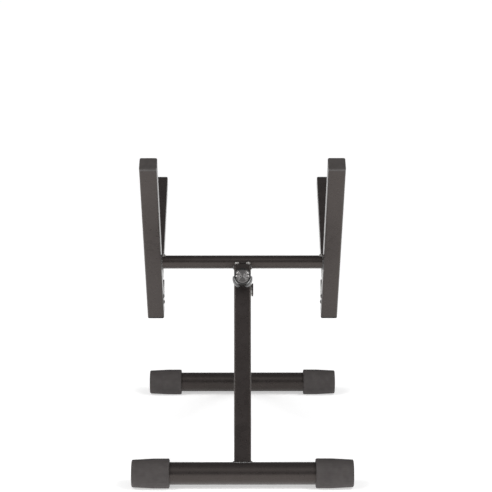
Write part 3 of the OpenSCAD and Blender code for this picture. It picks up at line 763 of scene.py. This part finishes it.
# The bracket lies flush with the column's sides, so its beads fill the column's round corners
pivot_h = (in_column @ pivot_at).z
bracket_below, bracket_above = 0.0155, 0.0115
bead_in, bead_back = 0.0009, 0.0007
bead_x = tube_w / 2 - bead_in
bead_y = column_mid + tube_w / 2 - bead_back
bracket_lines = [[column_frame @ Vector((x, bead_y, z))
                  for z in (pivot_h - bracket_below, clamp_h + bracket_above)]
                 for x in (-bead_x, bead_x)]
weld_bead("hinge_bracket_weld", "rear_frame", bracket_lines, bracket_bead)


# --- Support arms ---
# Square tube arms turn on low-headed rivets in folded brackets, which are welded to the
# uprights' front faces. Nylon washers keep the arms from the brackets.
nylon, tree, shader = new_material("nylon", (0.62, 0.60, 0.55), roughness=0.45,
                                   Subsurface_Weight=0.2)
vary(tree, add_noise(tree, scale=200, detail=3), shader.inputs["Roughness"], 0.4, 0.55)
finish_nodes(nylon, "left_support_washers", "right_support_washers")
finish_nodes(powder_coat, "left_support_arm", "right_support_arm")

arm_w = 0.020
arm_corner = 0.002
arm_wall = 0.0015
arm_top = 0.038
arm_len = 0.257
arm_start = 0.00542
bracket_foot, bracket_head = 0.0159, 0.037
side_bead_back, end_bead_below = 0.0006, 0.0003
side_bead_y = tube_w / 2 - side_bead_back
end_bead_y = tube_w / 2 + bead_lift
for side, way in sides:
    eased(f"{side}_support_bracket", f"{side}_bracket_folded", deburred, "rear_frame",
          "powder_coat", powder_coat)
    eased(f"{side}_support_pivot", f"{side}_pivot_rivet", 0, "rear_frame",
          "zinc_plate", zinc_plate)
    at_upright = upright_frame(way)
    lines = [[at_upright @ Vector((x, side_bead_y, z)) for z in (bracket_foot, bracket_head)]
             for x in (-bead_x, bead_x)]
    lines.append([at_upright @ Vector((x, end_bead_y, bracket_foot - end_bead_below))
                  for x in (-bead_x, bead_x)])
    weld_bead(f"{side}_bracket_weld", "rear_frame", lines, bracket_bead)
    tip = tube_plug(f"{side}_support_tip_cover", arm_w, arm_corner, arm_wall, plug_depth)
    arm_end = Matrix.Translation((0, tube_w / 2 + arm_start + arm_len, arm_top - arm_w / 2))
    place(tip, at_upright @ arm_end @ Matrix.Rotation(-math.pi / 2, 4, "X"))
    own(tip, tip_rubber, f"{side}_support", "plug_plastic", f"{side}_support_tip")


# --- Camera, floor and light ---
# The camera looks from behind and a little above, at the photograph's angle. The stand is on
# plain white paper, lit by four softboxes and one wide soft light high behind the camera.
camera_at = Vector((-0.0017, -2.4836, 0.8065))
camera_pitch = math.radians(11.156)
camera_yaw = math.radians(-0.172)
camera_data = bpy.data.cameras.new("camera")
camera_data.lens = 115.8
camera_data.sensor_width = 36
camera_data.clip_end = 200
camera = bpy.data.objects.new("camera", camera_data)
camera.location = camera_at
camera.rotation_euler = (math.pi / 2 - camera_pitch, 0, camera_yaw)
bpy.context.collection.objects.link(camera)
bpy.context.scene.camera = camera

start_piece()
bpy.ops.mesh.primitive_plane_add(size=120, location=(0, 0, 0))
floor = bpy.context.object
floor.name = floor.data.name = "studio_floor"
floor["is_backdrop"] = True
floor_paint = bpy.data.materials.new("floor_paint")
floor_paint.use_nodes = True
tree = floor_paint.node_tree
shader = tree.nodes["Principled BSDF"]
shader.inputs["Base Color"].default_value = (0.82, 0.82, 0.82, 1)
shader.inputs["Roughness"].default_value = 0.9
shader.inputs["Specular IOR Level"].default_value = 0.1
shader.inputs["Emission Color"].default_value = (1, 1, 1, 1)


def math_node(tree, operation, first, second):
    """One sum on two values; each is a number or an output."""
    node = tree.nodes.new("ShaderNodeMath")
    node.operation = operation
    for socket, value in zip(node.inputs, (first, second)):
        if isinstance(value, (int, float)):
            socket.default_value = value
        else:
            tree.links.new(value, socket)
    return node.outputs["Value"]


def map_range(tree, value, low, high, to_low, to_high):
    """Spreads a value from one range over another."""
    node = tree.nodes.new("ShaderNodeMapRange")
    tree.links.new(value, node.inputs["Value"])
    for socket, number in zip(("From Min", "From Max", "To Min", "To Max"),
                              (low, high, to_low, to_high)):
        node.inputs[socket].default_value = number
    return node.outputs["Result"]


# The paper is overexposed, so that it throws a bright light back on the stand, and its glow is
# painted lower round a point under the arms, a painted shadow for a load on them. The camera sees
# it white, with the shadows near the stand
painted_shadow_centre = (0, 0.12, 0)
light_path = tree.nodes.new("ShaderNodeLightPath")
on_floor = tree.nodes.new("ShaderNodeTexCoord")
from_stand = tree.nodes.new("ShaderNodeVectorMath")
from_stand.operation = "LENGTH"
tree.links.new(on_floor.outputs["Object"], from_stand.inputs[0])
for_camera = math_node(tree, "MULTIPLY", light_path.outputs["Is Camera Ray"],
                       map_range(tree, from_stand.outputs["Value"],
                                 low=0.5, high=4.0, to_low=0.5, to_high=0.75))
from_painted_shadow = tree.nodes.new("ShaderNodeVectorMath")
from_painted_shadow.operation = "DISTANCE"
tree.links.new(on_floor.outputs["Object"], from_painted_shadow.inputs[0])
from_painted_shadow.inputs[1].default_value = painted_shadow_centre
# Painted shadow: the glow that lights the stand drops from 0.8 to 0.36 near the point under the
# arms
glow_with_painted_shadow = math_node(tree, "MULTIPLY",
                      map_range(tree, from_painted_shadow.outputs["Value"],
                                low=0.15, high=0.36, to_low=0.36, to_high=0.8),
                      math_node(tree, "SUBTRACT", 1, light_path.outputs["Is Camera Ray"]))
tree.links.new(math_node(tree, "ADD", for_camera, glow_with_painted_shadow), shader.inputs["Emission Strength"])
floor.data.materials.append(floor_paint)

# A white horizon all round, and a wide soft light high behind the camera: each step of a ramp
# is the sine of its elevation and its level. The camera itself sees white in every direction
horizon = ((0.0, 1.0), (0.12, 1.0), (0.22, 0.1), (1.0, 0.1))
soft_light = ((0.0, 0.0), (0.42, 0.0), (0.72, 0.5), (0.83, 0.75), (0.92, 0.5), (0.99, 0.15))
world = bpy.data.worlds.new("studio")
bpy.context.scene.world = world
world.use_nodes = True
tree = world.node_tree
background = tree.nodes["Background"]
background.inputs["Color"].default_value = (1, 1, 1, 1)
sky_direction = tree.nodes.new("ShaderNodeTexCoord")
split = tree.nodes.new("ShaderNodeSeparateXYZ")
tree.links.new(sky_direction.outputs["Generated"], split.inputs["Vector"])


def level_ramp(steps):
    """A grey ramp over the sine of the elevation."""
    ramp = tree.nodes.new("ShaderNodeValToRGB")
    elements = ramp.color_ramp.elements
    elements.remove(elements[1])
    for i, (position, grey) in enumerate(steps):
        element = elements.new(position) if i else elements[0]
        element.position = position
        element.color = (grey, grey, grey, 1)
    tree.links.new(split.outputs["Z"], ramp.inputs["Fac"])
    return ramp.outputs["Color"]


behind = map_range(tree, split.outputs["Y"], low=-0.2, high=0.25, to_low=1.0, to_high=0.12)
level = math_node(tree, "ADD", level_ramp(horizon),
                  math_node(tree, "MULTIPLY", level_ramp(soft_light), behind))
light_path = tree.nodes.new("ShaderNodeLightPath")
white_behind = math_node(tree, "MAXIMUM", level, light_path.outputs["Is Camera Ray"])
tree.links.new(white_behind, background.inputs["Strength"])


def softbox(name, lamp_at, aim_h, size, power):
    """A square area lamp, aimed at a height on the stand's middle line."""
    lamp_data = bpy.data.lights.new(name, "AREA")
    lamp_data.shape = "SQUARE"
    lamp_data.size = size
    lamp_data.energy = power
    lamp = bpy.data.objects.new(name, lamp_data)
    lamp.location = lamp_at
    beam = Vector((0, 0, aim_h)) - Vector(lamp_at)
    lamp.rotation_euler = beam.to_track_quat("-Z", "Y").to_euler()
    bpy.context.collection.objects.link(lamp)


for side, way in sides:
    softbox(f"{side}_softbox", (way * 1.85, -1.4, 2.7), aim_h=0.25, size=1.1, power=31)
for side, way in sides:
    softbox(f"{side}_low_softbox", (way * 1.9, -1.55, 1.25), aim_h=0.28, size=0.45, power=7.5)

bpy.context.scene.view_settings.view_transform = "Standard"

low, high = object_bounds()
